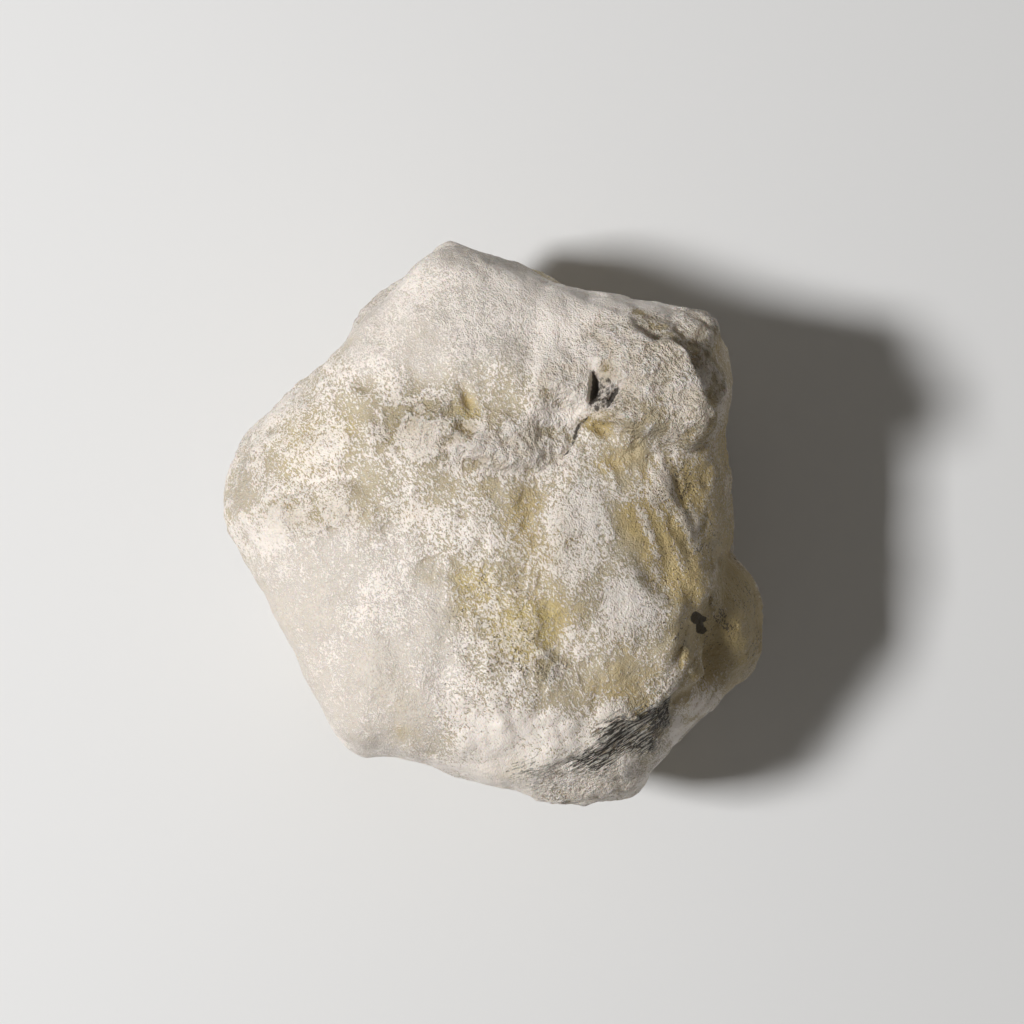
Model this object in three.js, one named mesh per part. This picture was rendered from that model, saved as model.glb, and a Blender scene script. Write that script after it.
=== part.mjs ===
// A whole, unopened geode: one rough, rounded nodule with a pale crust and a patch of grey host rock.
// Millimetres, +Z up. The stone lies on its back, with its widest face up, and rests on a small flat spot.
// The origin is on the ground, under the middle of the stone's box.
//
// The surface is a smooth body, pushed out and in along its own normal by the relief of three regions:
// the crown (what shows from above), the flank (all round the girth) and the belly (underneath).

import * as THREE from "three";
import { mergeVertices } from "three/addons/utils/BufferGeometryUtils.js";

// ---- Driving dimensions of the body ----

// The girth is the level where the stone is widest.
const GIRTH_HEIGHT = 27;
const CROWN_RISE = 23.2;
// The belly would reach 1 mm below the ground, which cuts the flat spot.
const BELLY_DROP = 28;
// The girth runs higher on one side than on the other, and rises and falls twice on the way round.
const GIRTH_LEAN = { height: 2, azimuth: 150 };
const GIRTH_WAVE = { height: 1.3, azimuth: 70 };
// Over 2, the power makes the body fuller than an ellipsoid. On the crown it swings once and twice round
// the azimuth: the crown stays round on the left, and is nearly flat out to its rim everywhere else.
const BELLY_FULLNESS = 2.5;
const CROWN_FULLNESS = { mean: 4, once: 0.7, twice: -0.7 };
// The mean plan radius: it gives the way out of the stone, and unrolls the flank.
const MEAN_RADIUS = 37;

// The outline at the girth, anticlockwise from the right-hand side.
const GIRTH_OUTLINE = [
  [34.3, 0], [34, 6], [33, 12], [34, 20], [33, 25.5], [29.3, 29.8],
  [24, 31.2], [17.5, 31.6], [10.6, 33], [5, 36.4], [-2, 38.9], [-6.5, 40.4],
  [-10.5, 37.6], [-14.6, 33.4], [-18.8, 29.8], [-23.7, 23.4], [-29, 19.5], [-36, 12.5],
  [-39, 6], [-39.2, 1.8], [-36.9, -4], [-32.3, -11.9], [-27, -21.7], [-22, -31],
  [-19, -33], [-12, -33.6], [-4, -36.8], [2.5, -38], [8, -39.6], [17.5, -40],
  [21.5, -38], [23.2, -33.7], [29.6, -28.6], [36.2, -21.2], [38.8, -14], [38.3, -9],
  [35, -4.5],
];

// The outline that the crown rises from: the low lobe at the lower right is outside it.
const CROWN_OUTLINE = [
  [33.7, -3], [33.6, 6], [32.8, 12], [33.4, 20], [32.6, 26], [28.8, 30.1],
  [21, 31.8], [10.6, 33], [1, 37.3], [-8, 38.9], [-16.2, 31.8], [-26.7, 21.3],
  [-36, 11.5], [-38.5, 3], [-34.5, -8], [-28.5, -20], [-21.5, -31.5], [-12, -33.5],
  [0, -37], [10, -38], [20, -34.5], [27.5, -26.5], [32.5, -15],
];

// The outline that the belly drops from.
const BELLY_OUTLINE = [
  [33, 3], [31.5, 18], [17, 31], [-3, 36], [-19, 28], [-31, 17], [-36, 2],
  [-29, -17], [-15, -31], [4, -35.5], [21, -33], [35, -17],
];

// Between these sines of the elevation the plan changes from the girth's outline to the next one.
const GIRTH_TO_CROWN = [0.03, 0.42];
const GIRTH_TO_BELLY = [0.08, 0.6];

// A swell that covers the whole stone: wavelength, height and a seed that shifts the pattern.
const SWELL = { wavelength: 8, height: 0.14, seed: 4 };
// Broader swells below the girth only.
const UNDERSIDE_SWELLS = [
  { wavelength: 18, height: 0.5, seed: 3 },
  { wavelength: 25, height: 1.1, seed: 7 },
];
const SWELL_WAVES = 16;
// The relief's own lines wander by this much, so that none of them is straight.
const WANDER = { wavelength: 8, height: 0.5, seedU: 1, seedV: 2 };

// A sphere of this many cuts along each icosahedron edge gives 9,680 triangles.
const SPHERE_CUTS = 21;

const CRUST_COLOUR = "#e2d8ca";
const CRUST_ROUGHNESS = 0.8;

// ---- Relief of the crown: x and y as seen from above ----

const UPPER_LOBE = [
  // The lobe ends in a lumpy ledge that runs out at the crack on its right.
  ledge([[-10, 13], [-5, 11], [1.5, 8], [6, 8.2], [9, 10.4]],
    { rise: 2.2, width: 0.85, reach: 5, taper: 0.25 }),
  // A round ear at the ledge's right end, and two smaller lumps along it.
  mound([8.7, 19.6], { half: [6.4, 5.8], rise: 1.3, core: 0.25 }),
  mound([12, 29.5], { half: [14, 7], turn: -8, rise: 1.1 }),
  mound([-9, 14.5], { half: [3.2, 3.4], turn: 30, rise: 0.9 }),
  mound([0.5, 14], { half: [3.4, 3], turn: 30, rise: 0.7 }),
  // Two hollows in the lobe, and the slanting groove to the left of them.
  mound([-4.4, 18], { half: [2, 2.6], turn: 20, rise: -1 }),
  mound([-4.4, 13.4], { half: [2.4, 1.7], turn: -25, rise: -1 }),
  furrow([[-18.5, 22], [-16, 17.5], [-12, 11]], { width: 1.7, rise: -1 }),
];

const CRACK = [
  // A pit with two deeper slots, a hollow below it, and the thin crack that runs on from it.
  mound([14.7, 18.5], { half: [2.3, 3.3], turn: -8, rise: -1.3, core: 0.2 }),
  mound([13.7, 19.2], { half: [1.3, 3], turn: 8, rise: -1.6, core: 0.15 }),
  mound([16.3, 17.3], { half: [1.1, 3], turn: -24, rise: -1.6, core: 0.15 }),
  mound([14.6, 15.8], { half: [1.9, 1.6], rise: -1.5 }),
  mound([15, 13.5], { half: [2.8, 2.1], rise: -1.3 }),
  furrow([[14, 15.2], [11.2, 12.4], [8.2, 9.9]], { width: 0.45, rise: -0.6, taper: 0.2 }),
];

const SHOULDER = [
  mound([22.5, 20], { half: [11, 10.5], rise: 1.2, core: 0.7 }),
  // Its lower and right sides break off in one step.
  ledge([[15.6, 13.3], [21, 11.6], [25.6, 10.7], [28.6, 11.8], [28.2, 15.8], [26, 21], [23.4, 25.2]],
    { rise: 2.6, width: 0.9, reach: 3, taper: 0.12 }),
  // The right side drops the furthest.
  ledge([[28.6, 10.6], [28.3, 15.8], [26.1, 21], [23, 26.6]],
    { rise: 1.8, width: 0.9, reach: 3.5, taper: 0.12 }),
  // The nose that juts from the shoulder's lower corner, and the lump at its top corner.
  mound([27, 14.4], { half: [2.2, 3.6], turn: 10, rise: 1.2, core: 0.2 }),
  mound([28.7, 27.4], { half: [5, 2.4], turn: -36, rise: 1.1, core: 0.1 }),
  furrow([[20.5, 30], [24, 28.3], [27.4, 25.4], [30.2, 22.2]], { width: 1.9, rise: -0.75, taper: 0.3 }),
];

const DOME = [
  // The whole crown bulges a little, and the dome at its lower right and the swell beside it a little more.
  mound([-1, 0], { half: [36, 38], rise: 1.4 }),
  mound([18, -6], { half: [15, 21], turn: 10, rise: 0.7, core: 0.4 }),
  mound([-2, -21], { half: [18, 16], rise: 1.6 }),
  furrow([[5, 3], [5.6, -3], [6.4, -9.6], [9.3, -17], [13.7, -22.7]], { width: 2.6, rise: -0.45 }),
  // The crust of the dome breaks off at its right flank, with a bulge beside it.
  ledge([[23.2, -21.4], [25.3, -16.7], [25, -11.5], [20.8, -7.2], [15, -2.6]],
    { rise: 1, width: 1.4, reach: 3 }),
  mound([28.8, -7.4], { half: [4.2, 5.8], turn: 8, rise: 0.7 }),
];

const LOWER_LOBE = [
  mound([34.2, -16.5], { half: [5, 10], turn: 8, rise: 2.5, core: 0.2 }),
  mound([30.8, -24.6], { half: [6.5, 3.4], turn: 38, rise: 1 }),
  // The valley between the dome and the low lobe.
  furrow([[37.5, -2], [35, -4.7], [31.8, -11], [30.2, -18.3], [28.4, -24]],
    { width: 2, rise: -1.5, taper: 0.1 }),
];

const HOST_ROCK_RECESS = [
  furrow([[7, -36.2], [15, -31.6], [22.4, -27.6], [27.5, -24]], { width: 1.7, rise: -0.8, taper: 0.15 }),
  // The lumpy ridge above the recess with two white lumps on it, and the fold of the rim below it.
  furrow([[15, -28.6], [21, -25.2], [25.6, -21.3], [27.3, -16.5]], { width: 1.3, rise: 0.8 }),
  mound([18.3, -26.9], { half: [1.7, 1.3], rise: 0.8 }),
  mound([26.8, -19], { half: [1.9, 2.8], turn: 20, rise: 0.9 }),
  furrow([[3, -38.5], [12.2, -37.8], [21, -34.6], [27.5, -30]], { width: 1.7, rise: 1.2 }),
];

const LEFT_CRUST = [
  furrow([[-39, 0.4], [-28.5, 1.3], [-19.8, 2], [-12.5, 3.5]], { width: 3, rise: 0.9 }),
  furrow([[-30, 6.7], [-22.7, 6.4], [-15.4, 6.9]], { width: 1.5, rise: -0.8 }),
  mound([-28.8, 4.2], { half: [2.2, 0.9], rise: -0.8 }),
];

const LOWER_LEFT_FOLDS = [
  furrow([[-10, -17], [-6, -24], [0.6, -31.4]], { width: 1.6, rise: -0.4 }),
  furrow([[-18.3, -10], [-16, -18], [-13, -27]], { width: 1.4, rise: 0.3 }),
  furrow([[-7.5, -15], [-3.5, -22], [3, -30]], { width: 1.3, rise: 0.3 }),
  furrow([[-8, -4], [-3.5, -9], [3, -15]], { width: 1.7, rise: -0.35 }),
];

const CROWN_RELIEF = [
  ...UPPER_LOBE, ...CRACK, ...SHOULDER, ...DOME,
  ...LOWER_LOBE, ...HOST_ROCK_RECESS, ...LEFT_CRUST, ...LOWER_LEFT_FOLDS,
];

// ---- Relief of the flank: length round the girth from +X, negative towards the front, and height ----

const FLANK_RELIEF = [
  // A broken ledge round the front, and a slanting groove with a swelling over it at the back.
  ledge([[-96, 17], [-72, 12], [-46, 15], [-20, 9]], { rise: 1.8, width: 1.4, reach: 4 }),
  mound([58, 17], { half: [15, 8], turn: 10, rise: 2, core: 0.2 }),
  furrow([[26, 7], [48, 10], [76, 24]], { width: 2.2, rise: -1.7 }),
  // Lumps and pits.
  mound([-82, 20], { half: [9, 6], turn: 15, rise: 1.4 }),
  mound([14, 13], { half: [10, 7], turn: -10, rise: 1.7 }),
  mound([98, 17], { half: [9, 7], rise: 1.4 }),
  mound([-62, 8], { half: [7, 4], turn: -20, rise: 1.2 }),
  mound([86, 20], { half: [2.4, 1.8], rise: -1.4 }),
  mound([-34, 18], { half: [2.6, 1.8], turn: 30, rise: -1.4 }),
  mound([38, 19], { half: [2.2, 3], turn: 40, rise: -1.2 }),
];

// ---- Relief of the belly: x and y as seen from above, clear of the flat spot in the middle ----

const BELLY_RELIEF = [
  mound([-21, 10], { half: [9, 8], turn: 20, rise: 1.6 }),
  mound([19, -15], { half: [9, 8], turn: -30, rise: 1.6 }),
  mound([17, 19], { half: [8, 6], turn: 40, rise: 1.2 }),
  furrow([[-30, -6], [-20, -15], [-4, -23], [10, -27]], { width: 2.2, rise: 1.3 }),
  furrow([[-20, 24], [-2, 21], [12, 25]], { width: 1.9, rise: -1.4 }),
  furrow([[23, 8], [26, -4], [31, -12]], { width: 1.8, rise: -1.2 }),
  mound([-14, -21], { half: [2.4, 2], rise: -1.2 }),
];

// Each region's relief comes in between two shares of the crown's rise or, below the girth, of the
// belly's drop. The flank's goes out again further down.
const CROWN_FADE_IN = [-0.15, 0.35];
const FLANK_FADE_IN = [0, 0.25];
const FLANK_FADE_OUT = [0.6, 0.9];
const BELLY_FADE_IN = [0.35, 0.65];
// The swells go out towards the flat spot.
const SWELL_FADE_OUT = [0.75, 0.97];

// ---- Shapes that the relief is built from ----

/** Goes from 0 at `low` to 1 at `high`, flat at both ends. */
function ramp(low, high, value) {
  const t = THREE.MathUtils.clamp((value - low) / (high - low), 0, 1);
  return t * t * (3 - 2 * t);
}

/** The nearest point of a path of straight stretches: distance, side (+1 on the left) and share along. */
function nearestOnPath(points, u, v) {
  const lengths = points.slice(1).map(([x, y], i) => Math.hypot(x - points[i][0], y - points[i][1]));
  const total = lengths.reduce((sum, length) => sum + length, 0);
  let best = { distance: Infinity, side: 1, share: 0 };
  let passed = 0;
  for (const [i, length] of lengths.entries()) {
    const [x, y] = points[i];
    const alongX = (points[i + 1][0] - x) / length;
    const alongY = (points[i + 1][1] - y) / length;
    const along = THREE.MathUtils.clamp((u - x) * alongX + (v - y) * alongY, 0, length);
    const offX = u - x - along * alongX;
    const offY = v - y - along * alongY;
    const distance = Math.hypot(offX, offY);
    if (distance < best.distance) {
      best = {
        distance,
        side: Math.sign(alongX * offY - alongY * offX),
        share: (passed + along) / total,
      };
    }
    passed += length;
  }
  return best;
}

/** How much of a path's relief is left at a share along it: it comes in and fades out over `taper`. */
function endFade(share, taper) {
  return ramp(0, taper, share) * ramp(0, taper, 1 - share);
}

/** A round or oval lump, or a pit where `rise` is negative, with a flat top as wide as `core`. */
function mound([atU, atV], { half: [halfU, halfV], turn = 0, rise, core = 0 }) {
  const angle = THREE.MathUtils.degToRad(turn);
  const cos = Math.cos(angle);
  const sin = Math.sin(angle);
  return (u, v) => {
    const alongU = ((u - atU) * cos + (v - atV) * sin) / halfU;
    const alongV = ((v - atV) * cos - (u - atU) * sin) / halfV;
    return rise * (1 - ramp(core, 1, Math.hypot(alongU, alongV)));
  };
}

/** A ridge along a path, or a groove where `rise` is negative. */
function furrow(path, { width, rise, taper = 0.25 }) {
  const leastHeight = 0.15;
  return (u, v) => {
    const { distance, share } = nearestOnPath(path, u, v);
    const height = leastHeight + (1 - leastHeight) * endFade(share, taper);
    return rise * height * Math.exp(-((distance / width) ** 2));
  };
}

/** A step up on the left of a path. It sinks to half 1.5 reaches past the path's chord, then to nothing. */
function ledge(path, { rise, width, reach, taper = 0.2 }) {
  const [startX, startY] = path[0];
  const [endX, endY] = path[path.length - 1];
  const chord = Math.hypot(endX - startX, endY - startY);
  return (u, v) => {
    const { distance, side } = nearestOnPath(path, u, v);
    const along = ((endX - startX) * (u - startX) + (endY - startY) * (v - startY)) / chord ** 2;
    const past = ((endX - startX) * (v - startY) - (endY - startY) * (u - startX)) / chord;
    const fade = endFade(THREE.MathUtils.clamp(along, 0, 1), taper);
    const sinking = 1 / (1 + Math.exp(past / reach - 1.5));
    return rise * fade * ramp(-width, width, distance * side) * sinking;
  };
}

/** Sine waves that cross a point from directions spread evenly over a sphere: their sum, about -1 to 1. */
function waves(point, wavelength, seed) {
  const golden = (1 + Math.sqrt(5)) / 2;
  // Shares of two irrational numbers give each wave its own length and phase.
  const lengthStep = 0.56984;
  const phaseStep = 0.754877;
  const seedStep = 0.37;
  let total = 0;
  for (let i = 0; i < SWELL_WAVES; i++) {
    const z = 1 - (2 * i + 1) / SWELL_WAVES;
    const turn = (2 * Math.PI * i) / golden + seed;
    const level = Math.sqrt(1 - z * z);
    const along = point.x * level * Math.cos(turn) + point.y * level * Math.sin(turn) + point.z * z;
    const stretch = 0.75 + 0.5 * ((i * lengthStep) % 1);
    const phase = 2 * Math.PI * (((i + 1) * phaseStep + seed * seedStep) % 1);
    total += Math.sin(((2 * Math.PI) / wavelength) * stretch * along + phase);
  }
  return total * Math.sqrt(2 / SWELL_WAVES);
}

/** The radius of a closed outline as a function of the azimuth, with a smooth curve through its points. */
function outlineRadius(points) {
  const curve = new THREE.CatmullRomCurve3(
    points.map(([x, y]) => new THREE.Vector3(x, y, 0)), true, "catmullrom");
  const samplesPerPoint = 20;
  const samples = curve.getPoints(points.length * samplesPerPoint).slice(1);
  const turn = 2 * Math.PI;
  const polar = samples
    .map(({ x, y }) => ({ azimuth: (Math.atan2(y, x) + turn) % turn, radius: Math.hypot(x, y) }))
    .sort((a, b) => a.azimuth - b.azimuth);
  const first = polar[0];
  const last = polar[polar.length - 1];
  const ring = [
    { ...last, azimuth: last.azimuth - turn }, ...polar, { ...first, azimuth: first.azimuth + turn },
  ];
  return (azimuth) => {
    const wanted = (azimuth + turn) % turn;
    const next = ring.findIndex((sample) => sample.azimuth > wanted);
    const before = ring[next - 1];
    const after = ring[next];
    const share = (wanted - before.azimuth) / (after.azimuth - before.azimuth);
    return THREE.MathUtils.lerp(before.radius, after.radius, share);
  };
}

const girthRadius = outlineRadius(GIRTH_OUTLINE);
const crownRadius = outlineRadius(CROWN_OUTLINE);
const bellyRadius = outlineRadius(BELLY_OUTLINE);

// ---- The stone ----

/** The power of the crown's shape at an azimuth. */
function crownFullness(azimuth) {
  const { mean, once, twice } = CROWN_FULLNESS;
  return mean + once * Math.cos(azimuth) + twice * Math.cos(2 * azimuth);
}

/** The smooth body in a direction from its middle: the point, the way out, and the share up or down. */
function bodyAt(direction) {
  const azimuth = Math.atan2(direction.y, direction.x);
  const level = Math.hypot(direction.x, direction.y);
  const rise = Math.abs(direction.z);
  const atGirth = girthRadius(azimuth);
  const outline = atGirth
    + (crownRadius(azimuth) - atGirth) * ramp(...GIRTH_TO_CROWN, direction.z)
    + (bellyRadius(azimuth) - atGirth) * ramp(...GIRTH_TO_BELLY, -direction.z);
  const onCrown = direction.z > 0;
  const reach = onCrown ? CROWN_RISE : BELLY_DROP;
  const fullness = onCrown ? crownFullness(azimuth) : BELLY_FULLNESS;
  const length = ((level / outline) ** fullness + (rise / reach) ** fullness) ** (-1 / fullness);
  const share = (length * direction.z) / reach;
  const lean = GIRTH_LEAN.height * Math.cos(azimuth - THREE.MathUtils.degToRad(GIRTH_LEAN.azimuth));
  const waveTurn = 2 * (azimuth - THREE.MathUtils.degToRad(GIRTH_WAVE.azimuth));
  const wave = GIRTH_WAVE.height * Math.cos(waveTurn);
  const girth = GIRTH_HEIGHT + (lean + wave) * (1 - share * share);
  const point = direction.clone().multiplyScalar(length).add(new THREE.Vector3(0, 0, girth));
  const slant = (level * length / MEAN_RADIUS) ** (fullness - 1) / MEAN_RADIUS;
  const lift = Math.sign(share) * Math.abs(share) ** (fullness - 1) / reach;
  const outward = new THREE.Vector3(slant * Math.cos(azimuth), slant * Math.sin(azimuth), lift).normalize();
  return { point, outward, azimuth, share };
}

/** The height of the relief over the smooth body. */
function reliefAt({ point, azimuth, share }) {
  const wanderU = WANDER.height * waves(point, WANDER.wavelength, WANDER.seedU);
  const wanderV = WANDER.height * waves(point, WANDER.wavelength, WANDER.seedV);
  const sum = (shapes, u, v) =>
    shapes.reduce((total, shape) => total + shape(u + wanderU, v + wanderV), 0);
  const swellOf = ({ wavelength, height, seed }) => height * waves(point, wavelength, seed);
  const crown = ramp(...CROWN_FADE_IN, share);
  const flank = ramp(...FLANK_FADE_IN, -share) * (1 - ramp(...FLANK_FADE_OUT, -share));
  const belly = ramp(...BELLY_FADE_IN, -share);
  const underside = UNDERSIDE_SWELLS.reduce((total, each) => total + swellOf(each), 0);
  const swell = swellOf(SWELL) + underside * ramp(...FLANK_FADE_IN, -share);
  return crown * sum(CROWN_RELIEF, point.x, point.y)
    + flank * sum(FLANK_RELIEF, azimuth * MEAN_RADIUS, point.z)
    + belly * sum(BELLY_RELIEF, point.x, point.y)
    + swell * (1 - ramp(...SWELL_FADE_OUT, -share));
}

/** A sphere of even triangles, each vertex moved to the stone's surface and none left under the ground. */
function stoneGeometry() {
  const sphere = new THREE.IcosahedronGeometry(1, SPHERE_CUTS);
  sphere.deleteAttribute("normal");
  sphere.deleteAttribute("uv");
  const geometry = mergeVertices(sphere);
  const positions = geometry.getAttribute("position");
  for (let i = 0; i < positions.count; i++) {
    const direction = new THREE.Vector3().fromBufferAttribute(positions, i).normalize();
    const body = bodyAt(direction);
    const surface = body.point.clone().addScaledVector(body.outward, reliefAt(body));
    positions.setXYZ(i, surface.x, surface.y, Math.max(surface.z, 0));
  }
  geometry.computeBoundingBox();
  const middle = geometry.boundingBox.getCenter(new THREE.Vector3());
  geometry.translate(-middle.x, -middle.y, 0);
  geometry.computeVertexNormals();
  return geometry;
}

/** The stone as one mesh, in the colour of its crust. */
function geodeStone() {
  const material = new THREE.MeshStandardMaterial({
    color: CRUST_COLOUR, roughness: CRUST_ROUGHNESS, metalness: 0,
  });
  const mesh = new THREE.Mesh(stoneGeometry(), material);
  mesh.name = "geode";
  return mesh;
}

const group = new THREE.Group();
group.add(geodeStone());

export default group;
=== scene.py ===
"""A whole, unopened geode: one rough, rounded nodule in a pale crust, lying on a small flat spot.

The stone is one closed surface over a sphere of directions. A smooth body gives its broad form. The relief
of three regions (crown, flank and belly) is pushed out along the body's own way out, and a fine grain is
laid over it. More shapes of the same kinds say where the crust, the stains and the host rock show, and
where shade is painted into the pit and along the crack. All shapes are in millimetres, and the mesh is in
metres.
"""

from __future__ import annotations

import logging
import math
from dataclasses import dataclass, field
from enum import Enum
from typing import Any, Protocol

import bpy
import numpy as np
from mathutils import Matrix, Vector


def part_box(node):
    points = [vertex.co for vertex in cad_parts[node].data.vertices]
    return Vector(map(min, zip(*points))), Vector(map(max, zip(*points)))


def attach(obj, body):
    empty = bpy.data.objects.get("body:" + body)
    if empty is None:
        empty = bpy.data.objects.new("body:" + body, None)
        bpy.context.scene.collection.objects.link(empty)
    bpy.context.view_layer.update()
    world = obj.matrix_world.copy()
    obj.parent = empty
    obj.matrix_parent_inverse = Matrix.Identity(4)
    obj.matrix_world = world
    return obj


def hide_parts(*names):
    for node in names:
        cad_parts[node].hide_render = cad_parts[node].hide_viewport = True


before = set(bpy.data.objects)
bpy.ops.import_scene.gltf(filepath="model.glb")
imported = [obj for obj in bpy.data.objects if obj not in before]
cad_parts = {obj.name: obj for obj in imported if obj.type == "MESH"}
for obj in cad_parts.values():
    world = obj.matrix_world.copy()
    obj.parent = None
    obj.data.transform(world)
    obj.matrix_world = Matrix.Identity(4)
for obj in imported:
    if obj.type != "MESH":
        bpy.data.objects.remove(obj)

LOG = logging.getLogger("geode")
MM = 0.001
TURN = 2.0 * math.pi
NODE = "geode"
BODY = "root"

Array = np.ndarray
Pair = tuple[float, float]
Path = tuple[Pair, ...]
Colour = tuple[float, float, float]


# ---- Formulas that the shapes are built from ----


def ramp(low: float, high: float, value: Array) -> Array:
    """Smooth step: t squared times (3 - 2t), where t is how far the value is from low to high."""
    t = np.clip((value - low) / (high - low), 0.0, 1.0)
    return t * t * (3.0 - 2.0 * t)


def nearest_on_path(path: Path, u: Array, v: Array) -> tuple[Array, Array, Array]:
    """Finds the nearest point of a path of straight stretches.

    On each stretch the nearest point is the foot of the perpendicular, held between the stretch's ends.

    Args:
        path: The path's corners.
        u: First coordinate of each point.
        v: Second coordinate of each point.

    Returns:
        The distance to the path, the side of it (+1 on the left) and the share of its length passed.
    """
    corners = np.array(path)
    steps = np.diff(corners, axis=0)
    lengths = np.hypot(steps[:, 0], steps[:, 1])
    distance = np.full(u.shape, np.inf)
    side = np.zeros(u.shape)
    share = np.zeros(u.shape)
    passed = 0.0
    for (x, y), (step_x, step_y), length in zip(corners, steps, lengths):
        along_x, along_y = step_x / length, step_y / length
        along = np.clip((u - x) * along_x + (v - y) * along_y, 0.0, length)
        off_x = u - x - along * along_x
        off_y = v - y - along * along_y
        off = np.hypot(off_x, off_y)
        closer = off < distance
        distance = np.where(closer, off, distance)
        side = np.where(closer, np.sign(along_x * off_y - along_y * off_x), side)
        share = np.where(closer, (passed + along) / lengths.sum(), share)
        passed += length
    return distance, side, share


def end_fade(share: Array, taper: float) -> Array:
    """How much of a path's relief is left: it comes in, and goes out, over the taper's share."""
    return ramp(0.0, taper, share) * ramp(0.0, taper, 1.0 - share)


class Shape(Protocol):
    """Anything that gives a height over two coordinates."""

    def height(self, u: Array, v: Array) -> Array:
        """The height over each point."""


@dataclass(frozen=True)
class Mound:
    """A round or oval lump, or a pit where its rise is negative, with a flat top as wide as its core."""

    at: Pair
    half: Pair
    rise: float = 1.0
    turn: float = 0.0
    core: float = 0.0

    def height(self, u: Array, v: Array) -> Array:
        """The rise times one less a smooth step of the distance, counted in half widths.

        Args:
            u: First coordinate of each point.
            v: Second coordinate of each point.

        Returns:
            The height over each point.
        """
        cos, sin = math.cos(math.radians(self.turn)), math.sin(math.radians(self.turn))
        along_u = ((u - self.at[0]) * cos + (v - self.at[1]) * sin) / self.half[0]
        along_v = ((v - self.at[1]) * cos - (u - self.at[0]) * sin) / self.half[1]
        return self.rise * (1.0 - ramp(self.core, 1.0, np.hypot(along_u, along_v)))


@dataclass(frozen=True)
class Furrow:
    """A ridge along a path, or a groove where its rise is negative."""

    path: Path
    width: float
    rise: float = 1.0
    taper: float = 0.25
    least: float = 0.15

    def height(self, u: Array, v: Array) -> Array:
        """The rise times a bell curve of the distance from the path, lower towards the path's ends.

        Args:
            u: First coordinate of each point.
            v: Second coordinate of each point.

        Returns:
            The height over each point.
        """
        distance, _, share = nearest_on_path(self.path, u, v)
        height = self.least + (1.0 - self.least) * end_fade(share, self.taper)
        return self.rise * height * np.exp(-((distance / self.width) ** 2))


@dataclass(frozen=True)
class Ledge:
    """A step up on the left of a path, which sinks away beyond the path's chord."""

    path: Path
    rise: float
    width: float
    reach: float
    taper: float = 0.2

    def height(self, u: Array, v: Array) -> Array:
        """The rise times a smooth step across the path times a smooth fall past the path's chord.

        The fall is one over one plus the exponential of the distance past the chord in reaches, less 1.5.

        Args:
            u: First coordinate of each point.
            v: Second coordinate of each point.

        Returns:
            The height over each point.
        """
        distance, side, _ = nearest_on_path(self.path, u, v)
        (start_u, start_v), (end_u, end_v) = self.path[0], self.path[-1]
        chord_u, chord_v = end_u - start_u, end_v - start_v
        along = (chord_u * (u - start_u) + chord_v * (v - start_v)) / (chord_u**2 + chord_v**2)
        past = (chord_u * (v - start_v) - chord_v * (u - start_u)) / math.hypot(chord_u, chord_v)
        sinking = 1.0 / (1.0 + np.exp(np.clip(past / self.reach - 1.5, -40.0, 40.0)))
        fade = end_fade(np.clip(along, 0.0, 1.0), self.taper)
        return self.rise * fade * ramp(-self.width, self.width, distance * side) * sinking


Shapes = tuple[Shape, ...]


def mounds(*rows: tuple[float, ...]) -> tuple[Mound, ...]:
    """Mounds from rows of numbers: place, half widths, rise and, where they aren't 0, turn and core."""
    return tuple(Mound(row[:2], row[2:4], *row[4:]) for row in rows)


def total(shapes: Shapes, u: Array, v: Array) -> Array:
    """The sum of the shapes' heights."""
    return sum((shape.height(u, v) for shape in shapes), np.zeros(u.shape))


def most(shapes: Shapes, u: Array, v: Array) -> Array:
    """The highest of the shapes at each point, and 0 where none reaches."""
    best = np.zeros(u.shape)
    for shape in shapes:
        best = np.maximum(best, shape.height(u, v))
    return best


@dataclass(frozen=True)
class Swell:
    """Sine waves that cross a point from directions spread evenly over a sphere."""

    wavelength: float
    height: float
    seed: float
    count: int = 16
    length_step: float = 0.56984
    phase_step: float = 0.754877
    seed_step: float = 0.37

    def at(self, points: Array) -> Array:
        """The sum of the waves' sines at each point, scaled so that it mostly stays within the height.

        The waves' directions follow the golden angle. Shares of two irrational numbers give each wave its
        own length and phase.

        Args:
            points: One row of x, y and z for each point.

        Returns:
            The height at each point.
        """
        golden = (1.0 + math.sqrt(5.0)) / 2.0
        order = np.arange(self.count)
        z = 1.0 - (2.0 * order + 1.0) / self.count
        turn = TURN * order / golden + self.seed
        level = np.sqrt(1.0 - z * z)
        directions = np.stack([level * np.cos(turn), level * np.sin(turn), z])
        stretch = 0.75 + 0.5 * ((order * self.length_step) % 1.0)
        phase = TURN * (((order + 1) * self.phase_step + self.seed * self.seed_step) % 1.0)
        crossing = np.sin(TURN / self.wavelength * stretch * (points @ directions) + phase)
        return self.height * math.sqrt(2.0 / self.count) * crossing.sum(axis=1)


def lattice_hash(cells: Array, seed: int) -> Array:
    """Mixes whole lattice coordinates and a seed into numbers from 0 to 1.

    Each coordinate is multiplied by a large prime, the products are combined by exclusive or, and the
    result is stirred by shifts and products.

    Args:
        cells: Whole coordinates, with x, y and z on the last axis.
        seed: Picks one of many unlike patterns.

    Returns:
        One number from 0 to 1 for each cell.
    """
    primes = np.array([73856093, 19349663, 83492791], dtype=np.uint64)
    stirring = np.uint64(0x45D9F3B)
    low = np.uint64(0xFFFFFFFF)
    shift = np.uint64(16)
    parts = (cells.astype(np.int64).astype(np.uint64) * primes) & low
    mixed = parts[..., 0] ^ parts[..., 1] ^ parts[..., 2] ^ np.uint64(seed * 2654435761 & 0xFFFFFFFF)
    for _ in range(3):
        mixed = ((mixed ^ (mixed >> shift)) * stirring) & low
    return (mixed ^ (mixed >> shift)).astype(np.float64) / float(0xFFFFFFFF)


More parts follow.
